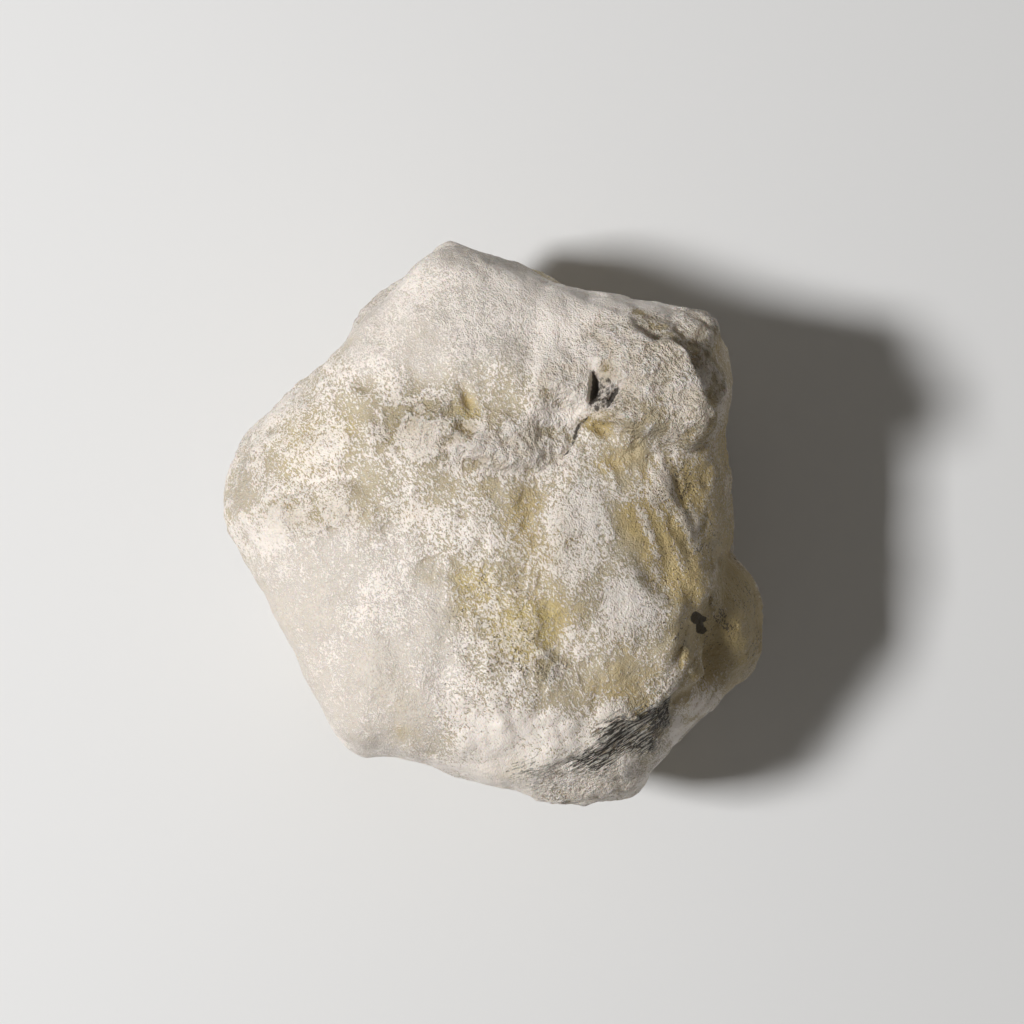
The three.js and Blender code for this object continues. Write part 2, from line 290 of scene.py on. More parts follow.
def turned(points: Array, degrees: float) -> Array:
    """The points in a frame turned about Z, whose first axis lies along the turned direction."""
    cos, sin = math.cos(math.radians(degrees)), math.sin(math.radians(degrees))
    x, y, z = points.T
    return np.stack([x * cos + y * sin, y * cos - x * sin, z], axis=1)


@dataclass(frozen=True)
class Grain:
    """Gradient noise: a smooth random field with bumps about half a wavelength across."""

    wavelength: float
    seed: int
    stretch: tuple[float, float, float] = (1.0, 1.0, 1.0)

    def at(self, points: Array) -> Array:
        """Blends, over the eight corners of each lattice cell, a random slope times the offset from it.

        Args:
            points: One row of x, y and z for each point.

        Returns:
            Values of about -1 to 1.
        """
        place = points / (self.wavelength * np.array(self.stretch))
        base = np.floor(place)
        offset = place - base
        blend = offset**3 * (offset * (offset * 6.0 - 15.0) + 10.0)
        value = np.zeros(len(points))
        for corner in np.ndindex(2, 2, 2):
            step = np.array(corner)
            cell = base + step
            z = 2.0 * lattice_hash(cell, self.seed) - 1.0
            turn = TURN * lattice_hash(cell, self.seed + 1)
            level = np.sqrt(1.0 - z * z)
            slope = np.stack([level * np.cos(turn), level * np.sin(turn), z], axis=1)
            weight = np.where(step == 1, blend, 1.0 - blend).prod(axis=1)
            value += weight * ((offset - step) * slope).sum(axis=1)
        return value * 1.6


def blended(grains: tuple[tuple[Grain, float], ...], points: Array) -> Array:
    """The sum of the grains' values at each point, each times its share."""
    return sum(share * grain.at(points) for grain, share in grains)


# ---- The smooth body ----


@dataclass(frozen=True)
class Outline:
    """A closed plan outline through a few points, as a radius round the middle."""

    points: Path
    samples: int = 20

    def radius(self, azimuth: Array) -> Array:
        """The radius at each azimuth, from a Catmull-Rom curve through the points.

        Between two points the curve is the cubic that leaves each of them parallel to the line between its
        neighbours.

        Args:
            azimuth: Angles in radians.

        Returns:
            One radius for each angle.
        """
        corners = np.array(self.points)[:, None, :]
        before, after, beyond = (np.roll(corners, shift, axis=0) for shift in (1, -1, -2))
        t = (np.arange(self.samples) / self.samples)[None, :, None]
        curve = 0.5 * (
            2.0 * corners
            + (after - before) * t
            + (2.0 * before - 5.0 * corners + 4.0 * after - beyond) * t**2
            + (3.0 * corners - before - 3.0 * after + beyond) * t**3
        ).reshape(-1, 2)
        angle = np.arctan2(curve[:, 1], curve[:, 0]) % TURN
        order = np.argsort(angle)
        radius = np.hypot(curve[:, 0], curve[:, 1])
        return np.interp(azimuth % TURN, angle[order], radius[order], period=TURN)


@dataclass(frozen=True)
class BodyPoints:
    """Points of the smooth body: where they are, the way out, and how far up or down they lie."""

    place: Array
    outward: Array
    azimuth: Array
    share: Array


@dataclass(frozen=True)
class StoneBody:
    """The stone without its relief: a fuller kind of ellipsoid with three plan outlines. Millimetres."""

    girth_height: float = 27.0
    crown_rise: float = 23.2
    belly_drop: float = 28.0
    lean: Pair = (2.0, 150.0)
    wave: Pair = (1.3, 70.0)
    fullness: float = 2.5
    crown_fullness: tuple[float, float, float] = (4.0, 0.7, -0.7)
    mean_radius: float = 37.0
    to_crown: Pair = (0.03, 0.42)
    to_belly: Pair = (0.08, 0.6)
    girth: Outline = Outline((
        (34.3, 0), (34, 6), (33, 12), (34, 20), (33, 25.5), (29.3, 29.8),
        (24, 31.2), (17.5, 31.6), (10.6, 33), (5, 36.4), (-2, 38.9), (-6.5, 40.4),
        (-10.5, 37.6), (-14.6, 33.4), (-18.8, 29.8), (-23.7, 23.4), (-29, 19.5), (-36, 12.5),
        (-39, 6), (-39.2, 1.8), (-36.9, -4), (-32.3, -11.9), (-27, -21.7), (-22, -31),
        (-19, -33), (-12, -33.6), (-4, -36.8), (2.5, -38), (8, -39.6), (17.5, -40),
        (21.5, -38), (23.2, -33.7), (29.6, -28.6), (36.2, -21.2), (38.8, -14), (38.3, -9),
        (35, -4.5),
    ))
    crown: Outline = Outline((
        (33.7, -3), (33.6, 6), (32.8, 12), (33.4, 20), (32.6, 26), (28.8, 30.1),
        (21, 31.8), (10.6, 33), (1, 37.3), (-8, 38.9), (-16.2, 31.8), (-26.7, 21.3),
        (-36, 11.5), (-38.5, 3), (-34.5, -8), (-28.5, -20), (-21.5, -31.5), (-12, -33.5),
        (0, -37), (10, -38), (20, -34.5), (27.5, -26.5), (32.5, -15),
    ))
    belly: Outline = Outline((
        (33, 3), (31.5, 18), (17, 31), (-3, 36), (-19, 28), (-31, 17), (-36, 2),
        (-29, -17), (-15, -31), (4, -35.5), (21, -33), (35, -17),
    ))

    def at(self, direction: Array) -> BodyPoints:
        """Places the body's surface in each direction from its middle.

        The length along a direction is that of a superellipsoid: the level part over the outline's radius
        and the upright part over the rise, each to the power of the fullness, sum to one at the surface.
        The outline is the girth's at the waist and the crown's or the belly's further up or down. The
        girth's height leans to one side and waves twice round the stone.

        Args:
            direction: One unit vector for each point.

        Returns:
            The points, with the way out of the stone and the share of the rise or the drop.
        """
        azimuth = np.arctan2(direction[:, 1], direction[:, 0])
        level = np.hypot(direction[:, 0], direction[:, 1])
        upright = direction[:, 2]
        at_girth = self.girth.radius(azimuth)
        outline = (
            at_girth
            + (self.crown.radius(azimuth) - at_girth) * ramp(*self.to_crown, upright)
            + (self.belly.radius(azimuth) - at_girth) * ramp(*self.to_belly, -upright)
        )
        reach = np.where(upright > 0.0, self.crown_rise, self.belly_drop)
        mean, once, twice = self.crown_fullness
        fuller = mean + once * np.cos(azimuth) + twice * np.cos(2.0 * azimuth)
        power = np.where(upright > 0.0, fuller, self.fullness)
        length = ((level / outline) ** power + (np.abs(upright) / reach) ** power) ** (-1.0 / power)
        share = length * upright / reach
        lean = self.lean[0] * np.cos(azimuth - math.radians(self.lean[1]))
        wave = self.wave[0] * np.cos(2.0 * (azimuth - math.radians(self.wave[1])))
        place = direction * length[:, None]
        place[:, 2] += self.girth_height + (lean + wave) * (1.0 - share * share)
        slant = (level * length / self.mean_radius) ** (power - 1.0) / self.mean_radius
        lift = np.sign(share) * np.abs(share) ** (power - 1.0) / reach
        outward = np.stack([slant * np.cos(azimuth), slant * np.sin(azimuth), lift], axis=1)
        outward /= np.linalg.norm(outward, axis=1, keepdims=True)
        return BodyPoints(place, outward, azimuth, share)


# ---- The relief ----


class Region(Enum):
    """The stone's three charts: which two coordinates a shape is laid out in."""

    CROWN = "x and y, seen from above"
    FLANK = "length round the girth from +X, and height"
    BELLY = "x and y, below the girth"


@dataclass(frozen=True)
class Relief:
    """The lobes, ledges, ridges, grooves and pits of the stone. Millimetres."""

    crown_fade: Pair = (-0.15, 0.35)
    flank_in: Pair = (0.0, 0.25)
    flank_out: Pair = (0.6, 0.9)
    belly_fade: Pair = (0.35, 0.65)
    swell_out: Pair = (0.75, 0.97)
    wander: tuple[Swell, Swell] = (Swell(8.0, 0.5, 1.0), Swell(8.0, 0.5, 2.0))
    swell: Swell = Swell(8.0, 0.14, 4.0)
    underside_swells: tuple[Swell, ...] = (Swell(18.0, 0.5, 3.0), Swell(25.0, 1.1, 7.0))

    upper_lobe: Shapes = mounds(
        (8.7, 19.6, 6.4, 5.8, 1.3, 0, 0.25), (12, 29.5, 14, 7, 1.1, -8), (-9, 14.5, 3.2, 3.4, 0.9, 30),
        (0.5, 14, 3.4, 3, 0.7, 30), (-4.4, 18, 2, 2.6, -1, 20), (-4.4, 13.4, 2.4, 1.7, -1, -25),
    ) + (
        Ledge(((-10, 13), (-5, 11), (1.5, 8), (6, 8.2), (9, 10.4)),
            rise=2.2, width=0.85, reach=5, taper=0.25),
        Furrow(((-18.5, 22), (-16, 17.5), (-12, 11)), 1.7, -1),
    )
    crack: Shapes = mounds(
        (14.7, 18.5, 2.3, 3.3, -1.3, -8, 0.2), (13.7, 19.2, 1.3, 3, -1.6, 8, 0.15),
        (16.3, 17.3, 1.1, 3, -1.6, -24, 0.15), (14.6, 15.8, 1.9, 1.6, -1.5), (15, 13.5, 2.8, 2.1, -1.3),
    ) + (
        Furrow(((14, 15.2), (11.2, 12.4), (8.2, 9.9)), 0.45, -0.6, taper=0.2),
    )
    shoulder: Shapes = mounds(
        (22.5, 20, 11, 10.5, 1.2, 0, 0.7), (27, 14.4, 2.2, 3.6, 1.2, 10, 0.2),
        (28.7, 27.4, 5, 2.4, 1.1, -36, 0.1),
    ) + (
        Ledge(((15.6, 13.3), (21, 11.6), (25.6, 10.7), (28.6, 11.8), (28.2, 15.8), (26, 21), (23.4, 25.2)),
            rise=2.6, width=0.9, reach=3, taper=0.12),
        Ledge(((28.6, 10.6), (28.3, 15.8), (26.1, 21), (23, 26.6)),
            rise=1.8, width=0.9, reach=3.5, taper=0.12),
        Furrow(((20.5, 30), (24, 28.3), (27.4, 25.4), (30.2, 22.2)), 1.9, -0.75, taper=0.3),
    )
    dome: Shapes = mounds(
        (-1, 0, 36, 38, 1.4), (18, -6, 15, 21, 0.7, 10, 0.4), (-2, -21, 18, 16, 1.6),
        (28.8, -7.4, 4.2, 5.8, 0.7, 8),
    ) + (
        Furrow(((5, 3), (5.6, -3), (6.4, -9.6), (9.3, -17), (13.7, -22.7)), 2.6, -0.45),
        Ledge(((23.2, -21.4), (25.3, -16.7), (25, -11.5), (20.8, -7.2), (15, -2.6)),
            rise=1, width=1.4, reach=3),
    )
    lower_lobe: Shapes = mounds(
        (34.2, -16.5, 5, 10, 2.5, 8, 0.2), (30.8, -24.6, 6.5, 3.4, 1, 38),
    ) + (
        Furrow(((37.5, -2), (35, -4.7), (31.8, -11), (30.2, -18.3), (28.4, -24)), 2, -1.5, taper=0.1),
    )
    rock_recess: Shapes = mounds(
        (18.3, -26.9, 1.7, 1.3, 0.8), (26.8, -19, 1.9, 2.8, 0.9, 20),
    ) + (
        Furrow(((7, -36.2), (15, -31.6), (22.4, -27.6), (27.5, -24)), 1.7, -0.8, taper=0.15),
        Furrow(((15, -28.6), (21, -25.2), (25.6, -21.3), (27.3, -16.5)), 1.3, 0.8),
        Furrow(((3, -38.5), (12.2, -37.8), (21, -34.6), (27.5, -30)), 1.7, 1.2),
    )
    left_crust: Shapes = mounds(
        (-28.8, 4.2, 2.2, 0.9, -0.8),
    ) + (
        Furrow(((-39, 0.4), (-28.5, 1.3), (-19.8, 2), (-12.5, 3.5)), 3, 0.9),
        Furrow(((-30, 6.7), (-22.7, 6.4), (-15.4, 6.9)), 1.5, -0.8),
    )
    lower_left_folds: Shapes = (
        Furrow(((-10, -17), (-6, -24), (0.6, -31.4)), 1.6, -0.4),
        Furrow(((-18.3, -10), (-16, -18), (-13, -27)), 1.4, 0.3),
        Furrow(((-7.5, -15), (-3.5, -22), (3, -30)), 1.3, 0.3),
        Furrow(((-8, -4), (-3.5, -9), (3, -15)), 1.7, -0.35),
    )
    flank: Shapes = mounds(
        (58, 17, 15, 8, 2, 10, 0.2), (-82, 20, 9, 6, 1.4, 15), (14, 13, 10, 7, 1.7, -10),
        (98, 17, 9, 7, 1.4), (-62, 8, 7, 4, 1.2, -20), (86, 20, 2.4, 1.8, -1.4),
        (-34, 18, 2.6, 1.8, -1.4, 30), (38, 19, 2.2, 3, -1.2, 40),
    ) + (
        Ledge(((-96, 17), (-72, 12), (-46, 15), (-20, 9)), rise=1.8, width=1.4, reach=4),
        Furrow(((26, 7), (48, 10), (76, 24)), 2.2, -1.7),
    )
    belly: Shapes = mounds(
        (-21, 10, 9, 8, 1.6, 20), (19, -15, 9, 8, 1.6, -30), (17, 19, 8, 6, 1.2, 40),
        (-14, -21, 2.4, 2, -1.2),
    ) + (
        Furrow(((-30, -6), (-20, -15), (-4, -23), (10, -27)), 2.2, 1.3),
        Furrow(((-20, 24), (-2, 21), (12, 25)), 1.9, -1.4),
        Furrow(((23, 8), (26, -4), (31, -12)), 1.8, -1.2),
    )

    def crown(self) -> Shapes:
        """Every shape that is laid out as seen from above."""
        return (
            self.upper_lobe + self.crack + self.shoulder + self.dome + self.lower_lobe
            + self.rock_recess + self.left_crust + self.lower_left_folds
        )

    def chart(self, body: BodyPoints, region: Region, unrolled: float) -> tuple[Array, Array]:
        """The two coordinates of each point in a region's chart, wandering so that no line is straight.

        Args:
            body: The smooth body's points.
            region: The chart that is asked for.
            unrolled: The radius that the flank is unrolled at.

        Returns:
            The two coordinates.
        """
        u, v = body.place[:, 0], body.place[:, 1]
        if region is Region.FLANK:
            u, v = body.azimuth * unrolled, body.place[:, 2]
        return u + self.wander[0].at(body.place), v + self.wander[1].at(body.place)

    def weight(self, body: BodyPoints, region: Region) -> Array:
        """How much of a region's relief each point takes, from 0 to 1."""
        if region is Region.CROWN:
            return ramp(*self.crown_fade, body.share)
        if region is Region.FLANK:
            return ramp(*self.flank_in, -body.share) * (1.0 - ramp(*self.flank_out, -body.share))
        return ramp(*self.belly_fade, -body.share)

    def height(self, body: BodyPoints, unrolled: float) -> Array:
        """The relief over the smooth body: each region's shapes by its weight, and the swells.

        Args:
            body: The smooth body's points.
            unrolled: The radius that the flank is unrolled at.

        Returns:
            The height over each point.
        """
        shapes = {Region.CROWN: self.crown(), Region.FLANK: self.flank, Region.BELLY: self.belly}
        relief = sum(
            self.weight(body, region) * total(shapes[region], *self.chart(body, region, unrolled))
            for region in Region
        )
        underside = sum(each.at(body.place) for each in self.underside_swells)
        swell = self.swell.at(body.place) + underside * ramp(*self.flank_in, -body.share)
        return relief + swell * (1.0 - ramp(*self.swell_out, -body.share))


# ---- Where each kind of surface shows ----


@dataclass(frozen=True)
class Patches:
    """How much of each kind of surface every vertex shows, from 0 to 1.

    Two go further: the blot, with the painted shade of the pit and the crack, may pass 1, and a flute swings
    about 0.
    """

    rough: Array
    cover: Array
    plate: Array
    frost: Array
    satin: Array
    stain: Array
    ochre: Array
    bare: Array
    rock: Array
    blot_and_pit_shade: Array
    speck: Array
    flute: Array


@dataclass(frozen=True)
class Geology:
    """Where the rough crust, the stains, the bare chalcedony and the host rock lie, and where shade is
    painted in the pit and along the crack. Millimetres.
    """

    break_up: tuple[tuple[Grain, float], ...] = ((Grain(5.0, 11), 0.22), (Grain(2.2, 23), 0.16))
    ragged_edge: Pair = (0.02, 0.4)
    broad: Grain = Grain(22.0, 31)
    middle: Grain = Grain(9.0, 37)
    cover_middle: float = 0.35
    cover_flute: float = 1.6
    plate_edge: float = 0.13
    plate_cover: float = 0.25
    scales: tuple[tuple[Grain, float], ...] = ((Grain(3.4, 81), 0.6), (Grain(1.7, 83), 0.45))
    flute_grain: Grain = Grain(1.7, 91, (6.0, 1.0, 1.5))
    flute_turn: float = -63.0
    fluted: Shapes = mounds(
        (22, 3, 8, 12, 1.0, 12, 0.4),
    )

    ledge_path: Path = ((-13, 15), (-8, 13.5), (-3, 11), (2, 10), (8, 12))
    shoulder_gap: Path = ((17, 29.8), (23, 27.2), (26.6, 24), (29.6, 20))
    rough: Shapes = mounds(
        (22.5, 20, 10.5, 11, 1.0, 0, 0.7), (28.5, 29, 5.5, 4, 1.0, 0, 0.5), (9, 19, 6, 6, 0.75, 0, 0.4),
        (14.5, 24.5, 6, 5.5, 0.85, 0, 0.3), (7.6, -19.6, 3.6, 2.4, 1.0, 0, 0.4),
        (-27, 1, 13, 3.4, 0.45, 0, 0.2), (-35, 7, 6, 12, 0.5), (18.3, -26.9, 2.4, 2, 0.9),
        (26.8, -19, 2.6, 3.6, 0.9, 20), (33, -14, 7, 13, 0.25, 0, 0.4),
    ) + (
        Furrow(ledge_path, 3.6, 1.0, taper=0.05, least=0.8),
        Furrow(((15, -28.6), (21, -25.2), (25.6, -21.3)), 2.2, 0.9),
        Furrow(((3, -38), (12, -37), (21, -34.5)), 3.0, 0.8),
    )
    cover: Shapes = mounds(
        (-4, 30, 20, 10, 0.1, 0, 0.4), (-10, 20, 10, 9, -0.12), (-3, 17, 6, 7, -0.2),
        (18, 24, 18, 13, 0.6, 0, 0.5), (-28, 0, 13, 3.4, 0.2, 0, 0.2), (-30, 10, 14, 14, 0.12, 0, 0.4),
        (-30, -14, 12, 18, -0.1, 0, 0.4), (-9, -21, 7, 8, -0.15, 0, 0.3), (-9, -4, 8, 6, -0.2),
        (20, -19, 9, 6, -0.1), (16.5, -9.5, 5, 4, 0.3), (23, 10.5, 8, 5, 0.35), (3, 11, 8, 4, 0.3),
        (-23, 2, 9, 4, 0.2), (14, -16, 9, 9, 0.2), (25.5, 3, 4, 11, 0.3, 8), (-2, -28, 12, 9, 0.15),
        (12, 0, 9, 13, 0.12, 18), (18, -12, 7, 7, 0.3, 30), (23, -20, 5, 7, 0.3, -25), (17, -27, 4, 3, 0.4),
        (30, -25.2, 3.6, 2.2, 0.9, 40), (26, -29.2, 2.6, 1.5, 1.2, 30, 0.3), (-3, -17, 6, 7, 0.2),
        (4, -28, 10, 5, 0.25), (-8, -33, 10, 4, 0.15), (31, 2, 8, 12, 0.2),
        (14.5, 14.2, 3.4, 3.0, -0.6, 0, 0.3), (15.3, 20.7, 2.4, 2.4, -0.4), (36, -16, 5, 12, -0.4, 0, 0.4),
        (-25, -20, 14, 12, -0.14), (8, -36, 18, 5, 0.7, 0, 0.5), (9, 19, 8, 8, 0.5), (8, -29, 9, 6, 0.35),
        (16, -13, 12, 12, 0.1), (-11, 6, 12, 6, 0.15), (-20, 1.5, 5, 4, 0.2),
    ) + (
        Furrow(ledge_path, 4.5, 0.3, taper=0.05, least=0.8),
        Furrow(((27, -27), (31, -24), (36, -17)), 2.2, 0.3),
        Furrow(shoulder_gap, 1.6, -0.6, taper=0.2),
    )
    frost: Shapes = mounds(
        (-22, -18, 24, 26, 1.0, 0, 0.5), (-8, 30, 24, 14, 0.9, 0, 0.5), (20, 24, 16, 12, 0.45, 0, 0.4),
        (-34, 4, 9, 16, 0.5), (-3, -30, 14, 9, 0.4), (10, 19, 8, 7, 0.5),
    )
    satin: Shapes = mounds(
        (16, -5, 11, 16, 1.0, 18, 0.5), (22, -2, 7, 12, 0.7, 10, 0.3), (2, 2, 8, 6, 0.6),
        (4, 27, 16, 9, 0.4, 0, 0.2),
    )
    stain: Shapes = mounds(
        (-25, 11, 15, 9, 0.45, 20), (-24, 1.5, 14, 4.5, 0.5), (-11, 2, 5, 4, 0.5),
        (-2.6, -8.8, 6, 7, 1.0, 20), (3.8, -14.5, 7.5, 6.5, 1.1, 0, 0.2), (8, 19, 5, 5, 0.4),
        (-3.5, 15.5, 5, 6, 0.55), (2.5, -35, 6, 5, 0.45), (-13, 13, 6, 6, 0.5), (9, -3, 4, 9, 0.3),
        (-12, -29, 7, 5, 0.3),
    )
    ochre: Shapes = mounds(
        (14.5, 14.2, 3.2, 2.8, 1.0, 0, 0.3), (-4.4, 17.6, 2.0, 2.6, 0.8),
        (-4.4, 13.2, 2.0, 1.8, 0.9, 0, 0.2), (5.5, -5, 2.6, 8, 0.25, 8), (13, -22, 8, 6, 0.12, 20),
        (17, -15, 5, 4, 0.15), (27, 1, 6, 10, 0.5, 5), (18.5, -27, 5, 2.2, 0.7, 30),
        (15.3, 20.6, 1.9, 1.7, 1.0, 0, 0.2), (28, 26, 5, 2.5, 0.5, -30), (34, -13, 7, 13, 0.9, 0, 0.4),
        (33.5, 4, 4, 11, 0.6, 0, 0.3),
    )
    bare: Shapes = mounds(
        (35, -8, 15, 36, 1.0, 0, 0.55), (22, 0, 6.5, 12, 0.9, 12, 0.3), (19, -21, 13, 11, 0.36, 20, 0.3),
        (-2, 5, 13, 5.5, 0.35), (17, 9.5, 8, 5, 0.6), (32.5, 24, 3.5, 10, 0.8, 0, 0.3),
        (-13, -24, 8, 9, 0.2),
    ) + (
        Furrow(((4, 6), (5.6, -3), (6.4, -9.6), (10, -18)), 4.5, 0.55, taper=0.1, least=0.5),
        Furrow(shoulder_gap, 1.6, 0.7, taper=0.2),
    )
    rock: Shapes = mounds(
        (24, -26.4, 1.8, 3, 1.0, -20, 0.4),
    ) + (
        Furrow(((8, -34.6), (14, -32.4), (20, -29.4), (24, -26.4)), 2.8, 0.85, taper=0.3, least=0.25),
        Furrow(((-1, -36.5), (8, -34.4), (16, -32.5), (23, -29)), 4.0, 0.33, taper=0.3, least=0.3),
        Furrow(((14, -31), (19, -28), (23.6, -25.4)), 2.3, 0.95, taper=0.2, least=0.4),
    )
    # A dark blot by the low lobe, and painted shade in the pit and along the crack.
    blot_and_pit_shade: Shapes = mounds(
        (28.5, -12.6, 2.6, 1.1, 1.5, 0, 0.4), (29.5, -14.3, 0.7, 1.4, 1.6, 0, 0.4),
        (14.8, 17.9, 2.3, 3.1, 0.5, -8, 0.6), (13.7, 18.7, 0.9, 3.0, 0.75, 8, 0.4),
        (16.2, 17.2, 0.7, 2.6, 0.7, -24, 0.4),
    ) + (
        Furrow(((14.2, 15.8), (11.2, 12.4), (8, 9.7)), 0.25, 0.6, taper=0.15),
    )
    speck: Shapes = mounds(
        (0, -16, 12, 15, 0.7, 0, 0.3), (27, -4, 12, 26, 0.65, 8, 0.4), (25, 6, 8, 9, 0.9, 8, 0.3),
        (34, -13, 6, 9, 0.9, 0, 0.3), (4, 26, 20, 8, 0.25), (15, 13.4, 3.4, 2.6, 1.0),
    )

    def patches(self, body: BodyPoints, relief: Relief, unrolled: float) -> Patches:
        """Works out every patch: its shapes on the crown, and a step of the noises where the crown ends.

        The cover is half, plus the sum of its shapes, plus shares of the middle noise and of the flute. A
        plate lies where the scales' noise and a share of the cover come to more than nought.

        Args:
            body: The smooth body's points.
            relief: Gives the charts and the regions' weights.
            unrolled: The radius that the flank is unrolled at.

        Returns:
            The patches.
        """
        u, v = relief.chart(body, Region.CROWN, unrolled)
        crown = relief.weight(body, Region.CROWN)
        ragged = blended(self.break_up, body.place)
        broad, middle = self.broad.at(body.place), self.middle.at(body.place)
        under = 1.0 - crown

        def patch(shapes: Shapes, elsewhere: Array) -> Array:
            """The shapes on the crown, or the field elsewhere, with a ragged edge."""
            field = most(shapes, u, v) * crown + elsewhere * under
            return np.clip(field + ragged * ramp(*self.ragged_edge, field), 0.0, 1.0)

        flute = self.flute_grain.at(turned(body.place, self.flute_turn)) * most(self.fluted, u, v) * crown
        cover = 0.5 + total(self.cover, u, v) * crown + self.cover_middle * middle + self.cover_flute * flute
        cover = np.clip(cover, 0.0, 1.0)
        scales = blended(self.scales, body.place) + self.plate_cover * (cover - 0.5)
        return Patches(
            rough=patch(self.rough, ramp(-0.1, 0.5, broad + 0.4 * middle)),
            cover=cover,
            plate=ramp(-self.plate_edge, self.plate_edge, scales),
            frost=patch(self.frost, ramp(-0.3, 0.5, broad)),
            satin=patch(self.satin, ramp(0.0, 0.6, middle - 0.4 * broad)),
            stain=patch(self.stain, 0.8 * ramp(0.0, 0.6, -broad + 0.5 * middle)),
            ochre=patch(self.ochre, 0.45 * ramp(0.25, 0.6, middle - 0.3 * broad)),
            bare=patch(self.bare, ramp(0.0, 0.5, -0.6 * broad - 0.6 * middle)),
            rock=patch(self.rock, np.zeros(len(u))),
            blot_and_pit_shade=most(self.blot_and_pit_shade, u, v) * crown,
            speck=patch(self.speck, ramp(-0.1, 0.5, middle)),
            flute=flute,
        )


# ---- The fine relief ----


@dataclass(frozen=True)
class FineRelief:
    """The grain that the mesh itself carries: knobs on the crust, low ripples elsewhere. Millimetres."""

    ripple: tuple[tuple[Grain, float], ...] = ((Grain(7.0, 41), 0.14), (Grain(3.1, 43), 0.15))
    knobs: tuple[tuple[Grain, float], ...] = (
        (Grain(4.2, 51), 0.8), (Grain(2.3, 53), 0.62), (Grain(1.4, 57), 0.42),
    )
    nap: tuple[Grain, float] = (Grain(1.5, 61, (1.0, 1.8, 1.0)), 0.1)
    knob_mean: float = 0.3
    knobs_on_smooth: float = 0.12
    hollow_edge: Pair = (0.12, -0.28)
    plate_rise: float = 0.22
    plate_sunk_in_frost: float = 0.7
    flute_rise: float = 0.45
    rock_grain: Grain = Grain(1.3, 71, (5.0, 1.0, 2.0))
    rock_turn: float = 33.0
    rock_rise: float = 0.42
    rock_mean: float = 0.4

    def build(self, body: BodyPoints, patches: Patches) -> tuple[Array, Array]:
        """The ripples, the knobs where the crust is rough, and the splintery grain of the host rock.

        A knob field is the size of a smooth noise without its sign, less its mean, so its valleys are
        sharp. The rock's grain is such noise upside down, drawn out along one level direction. Plates and
        flutes stand up from the crust by their patches.

        Args:
            body: The smooth body's points.
            patches: Says how rough each point is.

        Returns:
            The height over each point, and how deep in a hollow of the crust it lies, from 0 to 1.
        """
        points = body.place
        knobs = sum(rise * (np.abs(grain.at(points)) - self.knob_mean) for grain, rise in self.knobs)
        off_rock = 1.0 - patches.rock
        crust = off_rock * (self.knobs_on_smooth + (1.0 - self.knobs_on_smooth) * patches.rough) * knobs
        unfrosted = 1.0 - self.plate_sunk_in_frost * patches.frost
        plates = self.plate_rise * (patches.plate - 0.5) * unfrosted * off_rock
        nap = self.nap[1] * self.nap[0].at(points)
        rock_grain = np.abs(self.rock_grain.at(turned(points, self.rock_turn)))
        splinters = patches.rock * self.rock_rise * (self.rock_mean - rock_grain)
        height = blended(self.ripple, points) + crust + plates + self.flute_rise * patches.flute + nap
        return height + splinters, ramp(*self.hollow_edge, crust)


# ---- Shader expressions ----


@dataclass(frozen=True)
class Value:
    """A number on its way through a material: a socket that takes part in sums."""

    maker: "MaterialMaker"
    socket: bpy.types.NodeSocket

    def maths(self, operation: str, *others: Any) -> "Value":
        """Joins this value and others with one Math node."""
        return self.maker.maths(operation, self, *others)

    def __add__(self, other: Any) -> "Value":
        """This plus the other."""
        return self.maths("ADD", other)

    __radd__ = __add__

    def __sub__(self, other: Any) -> "Value":
        """This less the other."""
        return self.maths("SUBTRACT", other)

    def __rsub__(self, other: Any) -> "Value":
        """The other less this."""
        return self.maker.maths("SUBTRACT", other, self)

    def __mul__(self, other: Any) -> "Value":
        """This times the other."""
        return self.maths("MULTIPLY", other)

    __rmul__ = __mul__

    def __pow__(self, other: Any) -> "Value":
        """This to the power of the other."""
        return self.maths("POWER", other)

    def above(self, low: float, high: float) -> "Value":
        """A smooth step from 0 at low to 1 at high."""
        settings = {"interpolation_type": "SMOOTHSTEP"}
        sockets = {"Value": self, "From Min": low, "From Max": high}
        return self.maker.value("ShaderNodeMapRange", settings, sockets, "Result")


